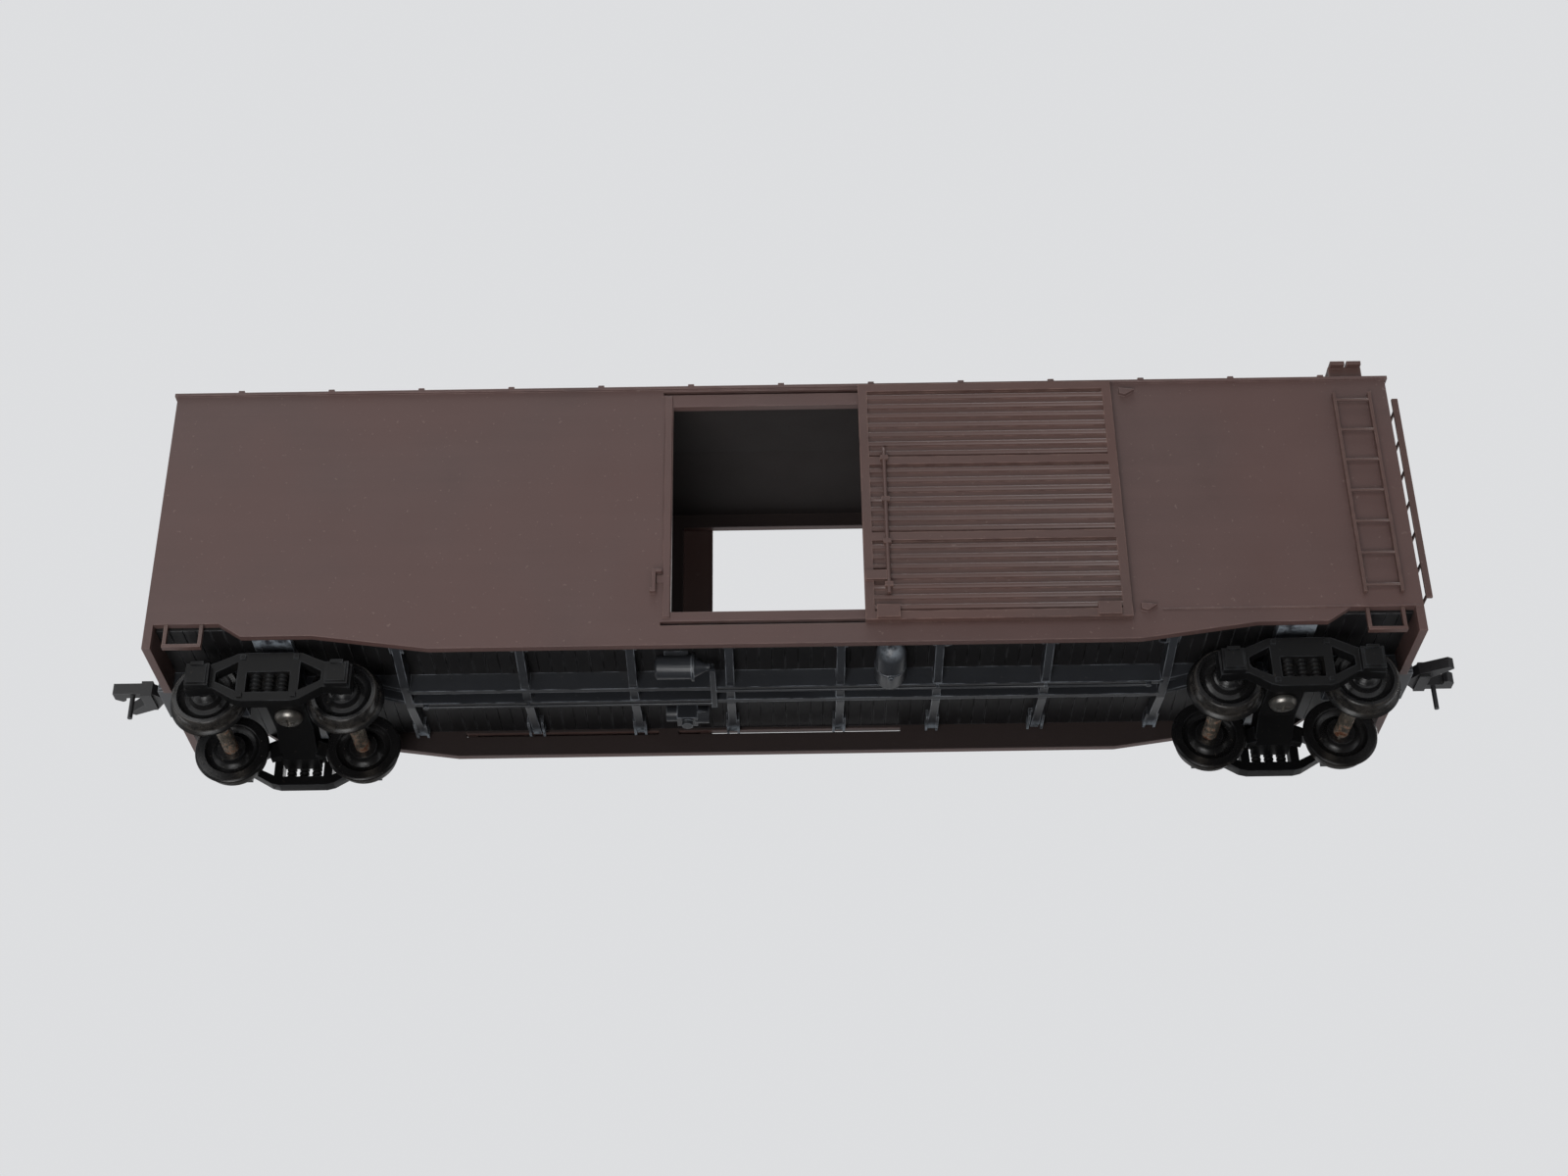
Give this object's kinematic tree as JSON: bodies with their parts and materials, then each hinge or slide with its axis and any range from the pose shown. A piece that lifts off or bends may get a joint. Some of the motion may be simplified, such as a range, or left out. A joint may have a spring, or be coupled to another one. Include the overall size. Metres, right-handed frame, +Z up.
{
  "type": "model box car",
  "caption": "Scale model railway box car with sliding side doors, ribbed ends, open-grid underframe, swivelling two-axle trucks and hook couplers.",
  "frame": {"origin": "under the middle of the car, on the plane that the wheel flanges stand on (the rail tops are 0.64 mm above it)", "axes": "+X along the car, away from the end with the hand brake; +Y across it; +Z up"},
  "size_m": [0.1932, 0.038, 0.054],
  "materials": {
    "body_brown": "satin moulded styrene",
    "door_brown": "satin moulded styrene",
    "trim_brown": "satin moulded styrene",
    "frame_black": "semi-gloss moulded styrene",
    "floor_black": "satin moulded styrene, lightly scuffed",
    "truck_black": "satin moulded acetal",
    "wheel_black": "semi-gloss moulded acetal",
    "axle_steel": "drawn steel with rust spots",
    "weight_steel": "rolled steel strip",
    "screw_steel": "dull zinc",
    "coupler_plastic": "satin moulded acetal",
    "lid_steel": "semi-gloss moulded styrene",
    "spring_bronze": "bare phosphor bronze leaf"
  },
  "bodies": {
    "car": {"body_shell": "body_brown", "running_board": "trim_brown", "side_ladder_a": "trim_brown", "side_ladder_b": "trim_brown", "end_ladder_a": "trim_brown", "end_ladder_b": "trim_brown", "sill_step_near_right": "trim_brown", "sill_step_far_right": "trim_brown", "sill_step_near_left": "trim_brown", "sill_step_far_left": "trim_brown", "brake_housing": "trim_brown", "brake_step": "trim_brown", "underframe": "frame_black", "air_reservoir": "frame_black", "brake_cylinder": "frame_black", "control_valve": "frame_black", "brake_rods": "frame_black", "floor": "floor_black", "steel_weight": "weight_steel", "truck_screw_a": "screw_steel", "truck_screw_b": "screw_steel", "lid_screw_a": "screw_steel", "lid_screw_b": "screw_steel", "pocket_lid_a": "lid_steel", "pocket_lid_b": "lid_steel", "coupler_spring_a": "spring_bronze", "coupler_spring_b": "spring_bronze"},
    "near_door": {"door_near": "door_brown"},
    "far_door": {"door_far": "door_brown"},
    "brake_handwheel": {"brake_wheel": "trim_brown"},
    "truck_a": {"truck_frame_a": "truck_black"},
    "wheelset_a_front": {"wheel_a_front_far": "wheel_black", "wheel_a_front_near": "wheel_black", "axle_a_front": "axle_steel"},
    "wheelset_a_rear": {"wheel_a_rear_far": "wheel_black", "wheel_a_rear_near": "wheel_black", "axle_a_rear": "axle_steel"},
    "coupler_a": {"coupler_a": "coupler_plastic"},
    "truck_b": {"truck_frame_b": "truck_black"},
    "wheelset_b_front": {"wheel_b_front_far": "wheel_black", "wheel_b_front_near": "wheel_black", "axle_b_front": "axle_steel"},
    "wheelset_b_rear": {"wheel_b_rear_far": "wheel_black", "wheel_b_rear_near": "wheel_black", "axle_b_rear": "axle_steel"},
    "coupler_b": {"coupler_b": "coupler_plastic"}
  },
  "joints": [
    {"name": "near_door_slide", "type": "slide", "parent": "car", "child": "near_door", "axis": [1, 0, 0], "range_m": [-0.027, 0]},
    {"name": "far_door_slide", "type": "slide", "parent": "car", "child": "far_door", "axis": [-1, 0, 0], "range_m": [-0.027, 0]},
    {"name": "brake_wheel_turn", "type": "hinge", "parent": "car", "child": "brake_handwheel", "pos_m": [-0.09235, 0.0036, 0.0403], "axis": [1, 0, 0], "continuous": true},
    {"name": "truck_a_swivel", "type": "hinge", "parent": "car", "child": "truck_a", "pos_m": [0.0714, 0, 0.0093], "axis": [0, 0, 1], "range_deg": [-12, 12]},
    {"name": "wheelset_a_front_roll", "type": "hinge", "parent": "truck_a", "child": "wheelset_a_front", "pos_m": [0.081, 0, 0.00545], "axis": [0, 1, 0], "continuous": true},
    {"name": "wheelset_a_rear_roll", "type": "hinge", "parent": "truck_a", "child": "wheelset_a_rear", "pos_m": [0.0618, 0, 0.00545], "axis": [0, 1, 0], "continuous": true},
    {"name": "coupler_a_swing", "type": "hinge", "parent": "car", "child": "coupler_a", "pos_m": [0.081, 0, 0.01056], "axis": [0, 0, 1], "range_deg": [-10, 10], "stiffness_Nm_per_rad": 0.0002},
    {"name": "truck_b_swivel", "type": "hinge", "parent": "car", "child": "truck_b", "pos_m": [-0.0714, 0, 0.0093], "axis": [0, 0, 1], "range_deg": [-12, 12]},
    {"name": "wheelset_b_front_roll", "type": "hinge", "parent": "truck_b", "child": "wheelset_b_front", "pos_m": [-0.0618, 0, 0.00545], "axis": [0, 1, 0], "continuous": true},
    {"name": "wheelset_b_rear_roll", "type": "hinge", "parent": "truck_b", "child": "wheelset_b_rear", "pos_m": [-0.081, 0, 0.00545], "axis": [0, 1, 0], "continuous": true},
    {"name": "coupler_b_swing", "type": "hinge", "parent": "car", "child": "coupler_b", "pos_m": [-0.081, 0, 0.01056], "axis": [0, 0, 1], "range_deg": [-10, 10], "stiffness_Nm_per_rad": 0.0002}
  ]
}
